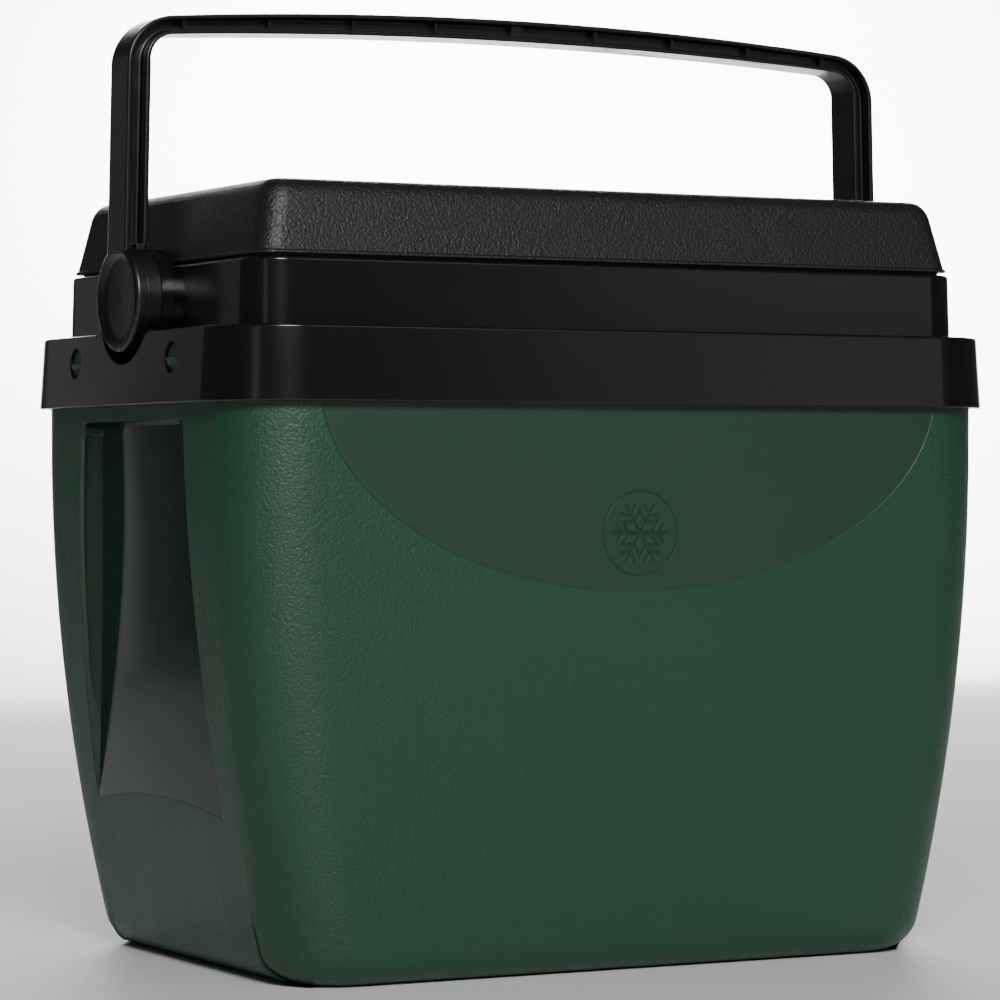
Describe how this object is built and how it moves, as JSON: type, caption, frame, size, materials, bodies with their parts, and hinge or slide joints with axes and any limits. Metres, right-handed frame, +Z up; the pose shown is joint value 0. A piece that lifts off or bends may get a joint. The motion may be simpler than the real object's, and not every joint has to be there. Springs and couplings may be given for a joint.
{
  "type": "insulated cooler box",
  "caption": "Insulated picnic cooler box: tapering green grained body, two-step black collar, black lift-off lid and an upright swing-over channel-section handle.",
  "frame": {"origin": "bottom centre of the whole chest, on the surface it stands on", "axes": "+X along the long side (left end at -X), the front face looks to -Y, +Z up"},
  "size_m": [0.4236, 0.2744, 0.4614],
  "materials": {
    "shell_green": "leather-grained polypropylene, dark green",
    "collar_black": "glossy black",
    "liner_white": "smooth white",
    "foam_white": "beaded foam",
    "lid_black": "leather-grained black",
    "handle_black": "satin black",
    "cap_black": "satin black",
    "pin_black": "satin black"
  },
  "bodies": {
    "chest": {"outer_shell": "shell_green", "collar": "collar_black", "inner_liner": "liner_white", "foam_floor": "foam_white", "foam_front": "foam_white", "foam_back": "foam_white", "foam_left": "foam_white", "foam_right": "foam_white", "pivot_pin_left": "pin_black", "pivot_pin_right": "pin_black"},
    "lid": {"lid_cover": "lid_black", "lid_pan": "lid_black", "lid_foam": "foam_white"},
    "handle": {"handle_bail": "handle_black", "hub_cap_left": "cap_black", "hub_cap_right": "cap_black"}
  },
  "joints": [
    {"name": "handle_swing", "type": "hinge", "parent": "chest", "child": "handle", "pos_m": [0, 0, 0.319], "axis": [1, 0, 0], "range_deg": [-91, 91]},
    {"name": "lid_lift", "type": "slide", "parent": "chest", "child": "lid", "axis": [0, 0, 1], "range_m": [0, 0.07]}
  ]
}
